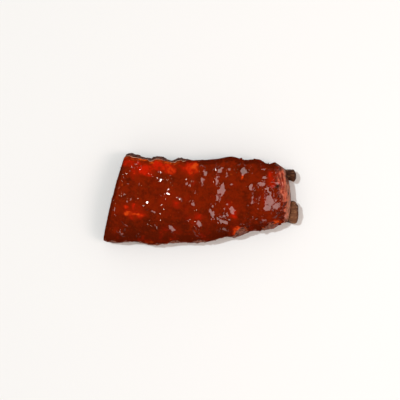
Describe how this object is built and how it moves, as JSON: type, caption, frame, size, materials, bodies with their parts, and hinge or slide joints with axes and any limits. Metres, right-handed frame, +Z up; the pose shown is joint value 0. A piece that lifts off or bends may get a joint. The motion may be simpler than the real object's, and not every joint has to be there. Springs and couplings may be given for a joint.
{
  "type": "rack of ribs",
  "caption": "Short rack of cooked pork ribs under a thick glaze, lying meat side up on its rib bones, cut square at one end and torn at the other.",
  "frame": {"origin": "under the middle of the rack, on the surface that it lies on", "axes": "+X along the rib bones towards their bare ends, +Y across the bones to the far edge, +Z up through the glazed top"},
  "size_m": [0.149, 0.0701, 0.0276],
  "materials": {
    "glazed_meat": "wet glossy glaze over browned meat",
    "bone": "dull cooked bone"
  },
  "bodies": {
    "root": {"meat": "glazed_meat", "rib_bone_far": "bone", "rib_bone_middle": "bone", "rib_bone_near": "bone"}
  },
  "joints": []
}
